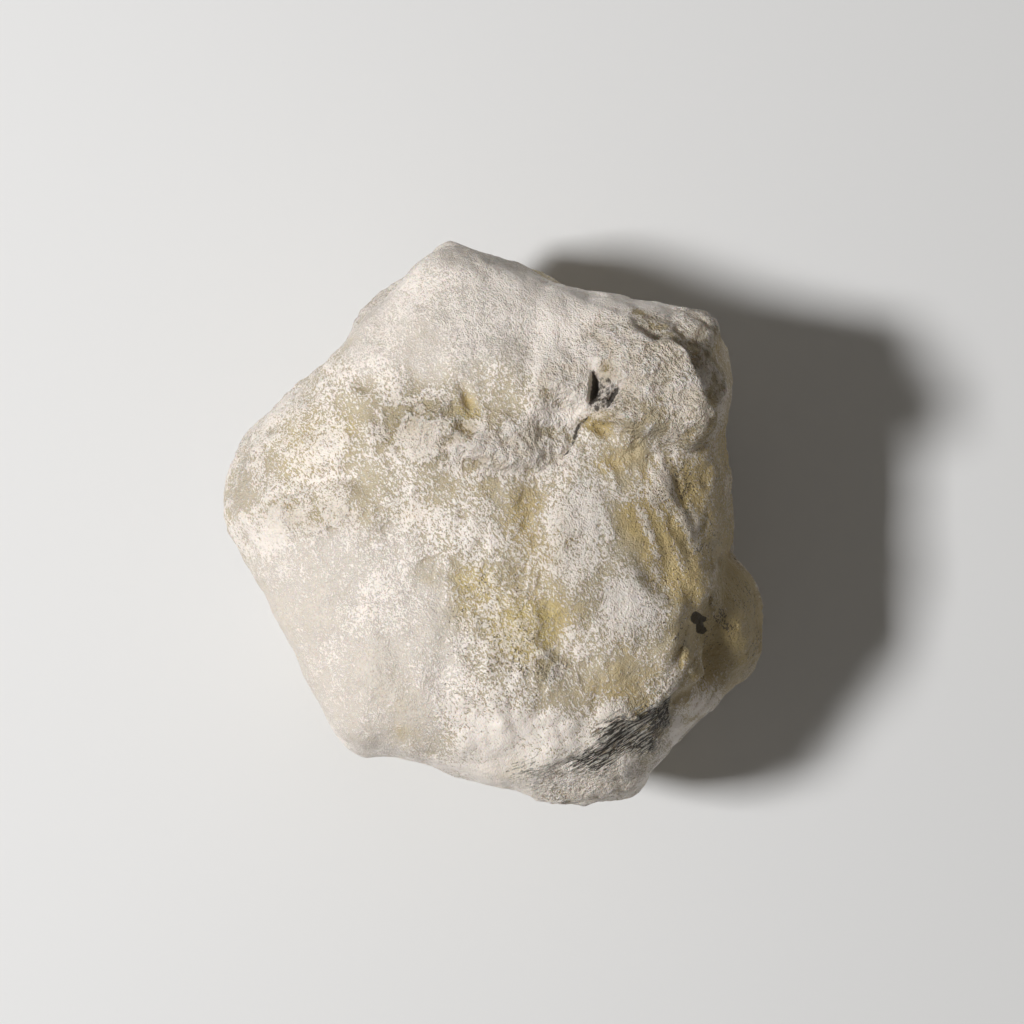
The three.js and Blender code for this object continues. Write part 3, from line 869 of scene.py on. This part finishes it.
class MaterialMaker:
    """Builds one material's nodes."""

    def __init__(self, name: str) -> None:
        """Starts an empty material.

        Args:
            name: The material's name.
        """
        self.material = bpy.data.materials.new(name)
        self.material.use_nodes = True
        self.tree = self.material.node_tree
        self.tree.nodes.clear()

    def node(self, kind: str, settings: dict[str, Any], sockets: dict[Any, Any]) -> bpy.types.Node:
        """Makes a node, sets it up, and then fills its sockets.

        Args:
            kind: The node's type.
            settings: The node's own properties, set first.
            sockets: A number, colour, vector, value or socket for each input, by name or index.

        Returns:
            The node.
        """
        made = self.tree.nodes.new(kind)
        for key, setting in settings.items():
            setattr(made, key, setting)
        for key, given in sockets.items():
            source = given.socket if isinstance(given, Value) else given
            if isinstance(source, bpy.types.NodeSocket):
                self.tree.links.new(source, made.inputs[key])
            else:
                made.inputs[key].default_value = source
        return made

    def value(self, kind: str, settings: dict[str, Any], sockets: dict[Any, Any], out: Any) -> Value:
        """Makes a node and wraps one of its outputs as a value."""
        return Value(self, self.node(kind, settings, sockets).outputs[out])

    def maths(self, operation: str, *terms: Any) -> Value:
        """Makes one Math node of the given terms."""
        sockets = dict(enumerate(terms))
        return self.value("ShaderNodeMath", {"operation": operation}, sockets, 0)

    def attribute(self, name: str) -> Value:
        """Reads a number that the mesh holds at each vertex."""
        settings = {"attribute_type": "GEOMETRY", "attribute_name": name}
        return self.value("ShaderNodeAttribute", settings, {}, "Fac")

    def noise(self, place: bpy.types.NodeSocket, speckle: "Speckle") -> Value:
        """Makes noise about nought over the places.

        Args:
            place: The places' socket, in metres.
            speckle: The noise's size and kind.

        Returns:
            The noise, from about -0.5 to 0.5.
        """
        rotation = (0.0, 0.0, math.radians(speckle.turn))
        at = self.node("ShaderNodeMapping", {"vector_type": "TEXTURE"}, {
            "Vector": place, "Rotation": rotation, "Scale": speckle.scale,
        }).outputs[0]
        return self.value("ShaderNodeTexNoise", {}, {
            "Vector": at, "Scale": 1.0 / (speckle.cell * MM), "Detail": speckle.detail,
            "Roughness": speckle.roughness, "Distortion": speckle.curl,
        }, "Fac") - 0.5

    def mix(self, factor: Any, low: Any, high: Any) -> bpy.types.NodeSocket:
        """Mixes two colours, from the low one at 0 to the high one at 1.

        Args:
            factor: How much of the high colour shows.
            low: A colour or the socket of one.
            high: A colour or the socket of one.

        Returns:
            The mixed colour's socket.
        """
        settings = {"data_type": "RGBA", "blend_type": "MIX", "clamp_factor": True}
        colours = {6: self.rgba(low), 7: self.rgba(high)}
        return self.node("ShaderNodeMix", settings, {0: factor, **colours}).outputs[2]

    @staticmethod
    def rgba(colour: Any) -> Any:
        """A colour with its alpha, or the socket that was given."""
        return (*colour, 1.0) if isinstance(colour, tuple) else colour


# ---- Finishes ----


@dataclass(frozen=True)
class Speckle:
    """Noise with cells of so many millimetres, drawn out by its scale in a frame turned about Z."""

    cell: float
    detail: float
    scale: tuple[float, float, float] = (1.0, 1.0, 1.0)
    turn: float = 0.0
    roughness: float = 0.5
    curl: float = 0.0


@dataclass(frozen=True)
class CrustFields:
    """What the crust's finish works with: the amounts that the mesh holds, and noise of six sizes."""

    rough: Value
    satin: Value
    hollow: Value
    stain: Value
    ochre: Value
    bare: Value
    rock: Value
    speck: Value
    cover: Value
    frost: Value
    plate: Value
    blot_and_pit_shade: Value
    grit: Value
    curls: Value
    crumbs: Value
    cloud: Value
    drift: Value
    veins: Value


@dataclass(frozen=True)
class CrustFinish:
    """The stone's surface: chalky crust, milky chalcedony, mineral stains and grey host rock, with painted
    shade in the crust's gaps and hollows, in the pit and along the crack.
    """

    chalk: Colour = (0.95, 0.865, 0.79)
    frosted: Colour = (0.72, 0.65, 0.57)
    # Painted shade for the gaps between the rough crust's grains.
    gap_shade: Colour = (0.25, 0.2, 0.14)
    glassy: Colour = (0.55, 0.465, 0.32)
    bare: Colour = (0.58, 0.445, 0.215)
    stain: Colour = (0.585, 0.46, 0.20)
    ochre: Colour = (0.50, 0.38, 0.17)
    rock: Colour = (0.05, 0.041, 0.03)
    rock_pale: Colour = (0.66, 0.615, 0.54)
    rust: Colour = (0.34, 0.245, 0.14)
    speck: Colour = (0.11, 0.08, 0.045)
    # Near black: a dark blot by the low lobe, and painted shade in the pit and along the crack.
    blot_and_pit_shade: Colour = (0.03, 0.021, 0.011)
    chalk_roughness: float = 0.65
    glassy_roughness: float = 0.18
    translucence: float = 0.15
    light_reach: float = 2.0 * MM
    light_reach_by_colour: Colour = (1.0, 0.6, 0.3)
    refraction: float = 1.5
    shine: float = 0.65
    relief_depth: float = 1.0 * MM

    grit: Speckle = Speckle(0.16, 1.0)
    curls: Speckle = Speckle(0.25, 2.5, (1.9, 1.0, 1.3), -52.0, 0.6, 0.5)
    crumbs: Speckle = Speckle(0.66, 2.0)
    cloud: Speckle = Speckle(2.2, 4.0, roughness=0.62)
    drift: Speckle = Speckle(6.0, 3.0)
    veins: Speckle = Speckle(0.3, 3.0, (13.0, 1.0, 1.5), 32.0, 0.6)
    lines: Speckle = Speckle(7.0, 3.0, (1.0, 2.2, 1.0), 25.0)
    dots: Speckle = Speckle(0.3, 2.0)
    dot_groups: Speckle = Speckle(2.6, 2.0)

    flake_edge: Pair = (-0.03, 0.015)
    slab_edge: Pair = (0.02, 0.08)
    rock_edge: Pair = (0.46, 0.56)
    line_edge: Pair = (0.004, 0.02)
    dot_edge: Pair = (0.22, 0.25)
    blot_and_pit_shade_edge: Pair = (0.4, 0.6)
    # How strongly painted shade darkens the crust's hollows and the gaps between its grains.
    hollow_shade_depth: float = 0.3
    gap_shade_depth: float = 0.3
    rust_depth: float = 0.7
    speck_depth: float = 0.85
    blot_and_pit_shade_depth: float = 0.9
    reads: tuple[str, ...] = (
        "rough", "satin", "hollow", "stain", "ochre", "bare", "rock", "speck", "cover", "frost", "plate",
        "blot_and_pit_shade",
    )
    noises: tuple[str, ...] = ("grit", "curls", "crumbs", "cloud", "drift", "veins")

    def material(self) -> bpy.types.Material:
        """Builds the crust's material from the mesh's own amounts and noise on Object coordinates.

        Returns:
            The material.
        """
        maker = MaterialMaker("geode_crust")
        place = maker.node("ShaderNodeTexCoord", {}, {}).outputs["Object"]
        amounts = {name: maker.attribute(name) for name in self.reads}
        noises = {name: maker.noise(place, getattr(self, name)) for name in self.noises}
        on = CrustFields(**amounts, **noises)
        flakes, uncovered = self.flakes(on), self.uncovered(on)
        colour = self.darkened(maker, on, maker.mix(
            flakes * (0.95 - 0.3 * on.stain - 0.3 * on.ochre - 0.2 * on.bare - 0.04 * on.frost),
            self.ground(maker, on), self.chalk,
        ))
        colour = maker.mix(uncovered, colour, self.slab(maker, on))
        colour = self.marked(maker, place, on, colour)
        bump = maker.node("ShaderNodeBump", {}, {
            "Height": self.relief(on, flakes, uncovered), "Strength": 1.0, "Distance": self.relief_depth,
        })
        shader = maker.node("ShaderNodeBsdfPrincipled", {}, {
            "Base Color": colour, "Roughness": self.roughness(on, uncovered), "Normal": bump.outputs[0],
            "IOR": self.refraction, "Specular IOR Level": self.shine,
            "Subsurface Weight": self.translucence,
            "Subsurface Scale": self.light_reach, "Subsurface Radius": self.light_reach_by_colour,
        })
        maker.node("ShaderNodeOutputMaterial", {}, {"Surface": shader.outputs[0]})
        return maker.material

    def flakes(self, on: CrustFields) -> Value:
        """Where chalk flakes lie: the fine noises, the cover and the plates come to more than an edge."""
        fine = on.curls * (0.75 - 0.3 * on.frost) + on.grit * (0.25 + 0.25 * on.frost) + 0.2 * on.crumbs
        spread = (on.cover - 0.5) * 0.3 + on.drift * 0.04 - on.bare * 0.1
        spread = spread + ((on.plate - 0.5) * 0.3 + on.cloud * 0.5) * (0.14 + 0.5 * on.rough)
        return (fine + spread).above(*self.flake_edge)

    def ground(self, maker: MaterialMaker, on: CrustFields) -> bpy.types.NodeSocket:
        """The colour between the flakes: glassy, then frosted, bare, stained and ochre by patch.

        Each patch is made uneven by the larger noises, and its colour comes in over a step of the result.

        Args:
            maker: The material's maker.
            on: What the finish works with.

        Returns:
            The colour's socket.
        """
        frosted = on.frost * (1.0 + 1.5 * on.cloud)
        bare = on.bare * (0.9 + 1.6 * on.drift + 1.4 * on.cloud)
        stained = on.stain * (1.0 + 2.0 * on.cloud + 1.4 * on.drift)
        ochre = on.ochre * (1.0 + 2.0 * on.cloud + 1.2 * on.crumbs)
        ground = maker.mix(frosted.above(0.1, 0.9), self.glassy, self.frosted)
        ground = maker.mix(bare.above(0.05, 0.8), ground, self.bare)
        ground = maker.mix(stained.above(0.02, 0.8), ground, self.stain)
        return maker.mix(ochre.above(0.08, 0.8), ground, self.ochre)

    def darkened(self, maker: MaterialMaker, on: CrustFields, colour: Any) -> bpy.types.NodeSocket:
        """The colour with painted shade: darker in the rough crust's hollows and in the gaps where two
        noises are low.

        Args:
            maker: The material's maker.
            on: What the finish works with.
            colour: The colour's socket so far.

        Returns:
            The colour's socket.
        """
        # Painted shade: the gaps between the crust's grains darken towards a shade colour, and its hollows
        # towards the bare tan.
        shaded_gaps = (-0.02 - 0.8 * on.crumbs - 0.4 * on.curls).above(0.0, 0.12)
        colour = maker.mix(on.hollow * on.rough * self.hollow_shade_depth, colour, self.bare)
        return maker.mix(shaded_gaps * on.rough * self.gap_shade_depth, colour, self.gap_shade)

    def uncovered(self, on: CrustFields) -> Value:
        """Where host rock shows: its patch, its veins near the patch and the crumbs pass an edge."""
        veins = 3.0 * on.veins * on.rock.above(0.0, 0.3)
        return (on.rock + veins + 0.4 * on.crumbs).above(*self.rock_edge)

    def slab(self, maker: MaterialMaker, on: CrustFields) -> bpy.types.NodeSocket:
        """The host rock's colour: dark and pale streaks by its veins, with clouds of rust."""
        slab = maker.mix((on.veins + 0.15 * on.grit).above(*self.slab_edge), self.rock, self.rock_pale)
        rusty = (on.cloud + 0.6 * on.veins).above(0.06, 0.22)
        return maker.mix(rusty * self.rust_depth, slab, self.rust)

    def marked(self, maker: MaterialMaker, place: Any, on: CrustFields, colour: Any) -> Any:
        """The colour with its dots, a dark blot, and painted shade in the pit and along the crack. Dots
        gather along lines where a broad noise crosses nought.

        Args:
            maker: The material's maker.
            place: The socket of the Object coordinates.
            on: What the finish works with.
            colour: The colour's socket so far.

        Returns:
            The colour's socket.
        """
        lines = 1.0 - maker.noise(place, self.lines).maths("ABSOLUTE").above(*self.line_edge)
        dots = maker.noise(place, self.dots) + 0.22 * maker.noise(place, self.dot_groups)
        dots = (dots + (0.11 + 0.13 * lines) * on.speck).above(*self.dot_edge)
        colour = maker.mix(dots * on.speck.above(0.05, 0.5) * self.speck_depth, colour, self.speck)
        # Painted shade in the pit and along the crack, and a dark blot by the low lobe.
        blot_and_pit_shade_mask = (on.blot_and_pit_shade + 0.7 * on.crumbs).above(*self.blot_and_pit_shade_edge)
        return maker.mix(blot_and_pit_shade_mask * self.blot_and_pit_shade_depth, colour, self.blot_and_pit_shade)

    def roughness(self, on: CrustFields, uncovered: Value) -> Value:
        """From chalky to glassy by the gloss of each patch, and matt on the blot, on the painted shade of
        the pit and the crack, and on host rock.
        """
        gloss = 0.45 + 0.6 * on.satin + 0.3 * on.bare - 0.5 * on.rough - 0.2 * on.frost
        gloss = gloss.above(0.0, 1.0)
        roughness = self.chalk_roughness + (self.glassy_roughness - self.chalk_roughness) * gloss
        return roughness + (on.blot_and_pit_shade + 0.5 * uncovered) * (0.95 - roughness)

    def relief(self, on: CrustFields, flakes: Value, uncovered: Value) -> Value:
        """The bump's height in millimetres: the flakes and noises, each by how rough or satin it is.

        Args:
            on: What the finish works with.
            flakes: Where chalk flakes lie.
            uncovered: Where host rock shows.

        Returns:
            The height.
        """
        return (
            flakes * (0.08 + 0.06 * on.satin + 0.08 * on.rough)
            + on.curls * (0.1 + 0.32 * on.satin + 0.4 * on.rough)
            + on.grit * (0.08 + 0.32 * on.rough + 0.15 * on.satin + 0.12 * on.bare)
            + on.crumbs * (0.12 + 1.0 * on.rough + 0.28 * on.bare)
            + on.cloud * 0.24
            + uncovered * (on.veins * 1.3 - 0.15)
        )


@dataclass(frozen=True)
class FloorFinish:
    """A plain matt floor."""

    colour: Colour = (0.80, 0.80, 0.80)
    roughness: float = 0.9

    def material(self) -> bpy.types.Material:
        """Builds the floor's material."""
        maker = MaterialMaker("studio_floor")
        shader = maker.node("ShaderNodeBsdfPrincipled", {}, {
            "Base Color": (*self.colour, 1.0), "Roughness": self.roughness,
        })
        maker.node("ShaderNodeOutputMaterial", {}, {"Surface": shader.outputs[0]})
        return maker.material


# ---- The stone ----


@dataclass(frozen=True)
class DirectionGrid:
    """Six square grids on the faces of a cube, blown up to a sphere of directions."""

    cuts: int = 128
    crowd: float = 0.35
    gap: float = 0.006
    same_digits: int = 7

    def build(self) -> tuple[Array, Array, Array]:
        """Lays out the directions, the four-cornered faces and their places in the flat pattern.

        A grid point's direction is its cube face's way out, plus each sideways axis times the tangent of an
        evenly stepped angle, made one long. A share of straight up is added to each, which crowds the
        points on the crown. Points that the faces share are joined: they are the same to so many digits. In
        the pattern the six faces lie in three columns and two rows.

        Returns:
            The directions, the corner numbers of each face, and the pattern place of each corner.
        """
        steps = np.linspace(-1.0, 1.0, self.cuts + 1)
        slope = np.tan(steps * math.pi / 4.0)
        across, along = np.meshgrid(slope, slope, indexing="ij")
        share_u, share_v = np.meshgrid((steps + 1.0) / 2.0, (steps + 1.0) / 2.0, indexing="ij")
        row = self.cuts + 1
        first = (np.arange(self.cuts)[:, None] * row + np.arange(self.cuts)[None, :]).ravel()
        quad = np.stack([first, first + row, first + row + 1, first + 1], axis=1)
        directions, faces, pattern = [], [], []
        for number, (axis, sign) in enumerate((axis, sign) for axis in range(3) for sign in (1.0, -1.0)):
            grid = np.zeros((row, row, 3))
            grid[..., axis] = sign
            grid[..., (axis + 1) % 3] = across * sign
            grid[..., (axis + 2) % 3] = along
            directions.append(grid.reshape(-1, 3))
            faces.append(quad + number * row * row)
            column, line = number % 3, number // 3
            u = (column + self.gap + share_u * (1.0 - 2.0 * self.gap)) / 3.0
            v = (line + self.gap + share_v * (1.0 - 2.0 * self.gap)) / 2.0
            pattern.append(np.stack([u.ravel(), v.ravel()], axis=1))
        directions = np.concatenate(directions)
        directions /= np.linalg.norm(directions, axis=1, keepdims=True)
        faces, pattern = np.concatenate(faces), np.concatenate(pattern)[np.concatenate(faces)]
        rounded = np.round(directions, self.same_digits) + 0.0
        _, kept, joined = np.unique(rounded, axis=0, return_index=True, return_inverse=True)
        directions = directions[kept] + np.array([0.0, 0.0, self.crowd])
        directions /= np.linalg.norm(directions, axis=1, keepdims=True)
        return directions, joined.reshape(-1)[faces], pattern


@dataclass
class GeodeStone:
    """The whole stone as one closed piece, with its patches and its flat pattern."""

    name: str = "geode_stone"
    body: StoneBody = field(default_factory=StoneBody)
    relief: Relief = field(default_factory=Relief)
    geology: Geology = field(default_factory=Geology)
    fine: FineRelief = field(default_factory=FineRelief)
    grid: DirectionGrid = field(default_factory=DirectionGrid)
    finish: CrustFinish = field(default_factory=CrustFinish)
    shift: Pair = (0.0, 0.0)

    def build(self) -> bpy.types.Object:
        """Builds and dresses the stone, flat where it rests, and centred where the CAD's stone stands.

        Each point is the body's, moved its height along the body's way out, and no lower than the floor.

        Returns:
            The stone's object.
        """
        directions, faces, pattern = self.grid.build()
        body = self.body.at(directions)
        patches = self.geology.patches(body, self.relief, self.body.mean_radius)
        fine, hollow = self.fine.build(body, patches)
        height = self.relief.height(body, self.body.mean_radius) + fine
        points = body.place + body.outward * height[:, None]
        points[:, 2] = np.maximum(points[:, 2], 0.0)
        low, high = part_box(NODE)
        middle = (points.min(axis=0) + points.max(axis=0)) / 2.0
        self.shift = (
            (low.x + high.x) / 2.0 / MM - middle[0],
            (low.y + high.y) / 2.0 / MM - middle[1],
        )
        points[:, :2] += np.array(self.shift)
        stone = self.mesh(points * MM, faces, pattern)
        self.dress(stone, {**vars(patches), "hollow": hollow})
        return stone

    def mesh(self, points: Array, faces: Array, pattern: Array) -> bpy.types.Object:
        """Makes the object from its arrays.

        Args:
            points: Vertex places in metres.
            faces: Four vertex numbers for each face.
            pattern: Flat pattern place of each face corner.

        Returns:
            The object.
        """
        mesh = bpy.data.meshes.new(self.name)
        mesh.vertices.add(len(points))
        mesh.vertices.foreach_set("co", points.astype(np.float32).ravel())
        mesh.loops.add(faces.size)
        mesh.loops.foreach_set("vertex_index", faces.astype(np.int32).ravel())
        mesh.polygons.add(len(faces))
        mesh.polygons.foreach_set("loop_start", np.arange(0, faces.size, 4, dtype=np.int32))
        mesh.polygons.foreach_set("use_smooth", np.ones(len(faces), dtype=bool))
        mesh.update(calc_edges=True)
        pattern_map = mesh.uv_layers.new(name="OFBake")
        pattern_map.data.foreach_set("uv", pattern.astype(np.float32).ravel())
        mesh.validate()
        stone = bpy.data.objects.new(self.name, mesh)
        bpy.context.scene.collection.objects.link(stone)
        return stone

    def dress(self, stone: bpy.types.Object, amounts_by_name: dict[str, Array]) -> None:
        """Gives the mesh the amounts that its finish reads, its material and its place in the frame.

        Args:
            stone: The stone's object.
            amounts_by_name: How much of each surface every vertex shows.
        """
        for name in self.finish.reads:
            layer = stone.data.attributes.new(name, "FLOAT", "POINT")
            layer.data.foreach_set("value", amounts_by_name[name].astype(np.float32))
        stone.data.materials.append(self.finish.material())
        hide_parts(NODE)
        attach(stone, BODY)


# ---- The studio ----


@dataclass
class Studio:
    """A pale floor, one soft light from the left, a weak fill, and a camera straight above the stone."""

    floor_half: float = 0.9
    view_width: float = 148.95 * MM
    view_middle: Pair = (2.33, 1.745)
    girth_height: float = 27.0 * MM
    lens: float = 100.0
    sensor: float = 36.0
    key_distance: float = 0.9
    key_elevation: float = 54.0
    key_azimuth: float = 181.0
    key_size: float = 0.14
    key_power: float = 7.8
    fill: float = 0.12
    fill_colour: Colour = (1.0, 0.95, 0.87)
    floor_finish: FloorFinish = field(default_factory=FloorFinish)

    def build(self, shift: Pair) -> None:
        """Sets up the floor, the lights and the camera.

        Args:
            shift: How far the stone was moved to centre it, in millimetres.
        """
        self.floor()
        self.key_light()
        self.fill_light()
        self.camera(shift)
        bpy.context.scene.view_settings.view_transform = "Standard"

    def floor(self) -> None:
        """Lays one square of floor at ground level."""
        half = self.floor_half
        mesh = bpy.data.meshes.new("studio_floor")
        corners = [(-half, -half, 0.0), (half, -half, 0.0), (half, half, 0.0), (-half, half, 0.0)]
        mesh.from_pydata(corners, [], [(0, 1, 2, 3)])
        mesh.materials.append(self.floor_finish.material())
        floor = bpy.data.objects.new("studio_floor", mesh)
        bpy.context.scene.collection.objects.link(floor)

    def key_light(self) -> None:
        """Hangs a square light on the left, turned to the stone."""
        light = bpy.data.lights.new("key", "AREA")
        light.energy = self.key_power
        light.size = self.key_size
        elevation, azimuth = math.radians(self.key_elevation), math.radians(self.key_azimuth)
        level = math.cos(elevation)
        way = Vector((level * math.cos(azimuth), level * math.sin(azimuth), math.sin(elevation)))
        key = bpy.data.objects.new("key", light)
        key.location = way * self.key_distance + Vector((0.0, 0.0, self.girth_height))
        key.rotation_euler = way.to_track_quat("Z", "Y").to_euler()
        bpy.context.scene.collection.objects.link(key)

    def fill_light(self) -> None:
        """Gives the surroundings an even, weak glow."""
        world = bpy.data.worlds.new("studio")
        world.use_nodes = True
        background = world.node_tree.nodes["Background"]
        background.inputs["Color"].default_value = (*self.fill_colour, 1.0)
        background.inputs["Strength"].default_value = self.fill
        bpy.context.scene.world = world

    def camera(self, shift: Pair) -> None:
        """Hangs the camera over the stone, at the height where its view is as wide as it should be.

        The distance is the lens length times the view's width over the sensor's width.

        Args:
            shift: How far the stone was moved to centre it, in millimetres.
        """
        lens = bpy.data.cameras.new("camera")
        lens.lens = self.lens
        lens.sensor_width = self.sensor
        camera = bpy.data.objects.new("camera", lens)
        distance = self.lens * self.view_width / self.sensor
        camera.location = (
            (self.view_middle[0] + shift[0]) * MM,
            (self.view_middle[1] + shift[1]) * MM,
            self.girth_height + distance,
        )
        bpy.context.scene.collection.objects.link(camera)
        bpy.context.scene.camera = camera


def main() -> None:
    """Builds the stone and the studio."""
    logging.basicConfig(level=logging.INFO, format="%(name)s: %(message)s")
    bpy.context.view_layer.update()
    geode = GeodeStone()
    stone = geode.build()
    LOG.info("%s: %d vertices, %d faces", stone.name, len(stone.data.vertices), len(stone.data.polygons))
    Studio().build(geode.shift)
    LOG.info("studio: floor, lights and camera")
    bpy.context.view_layer.update()


if __name__ == "__main__":
    main()
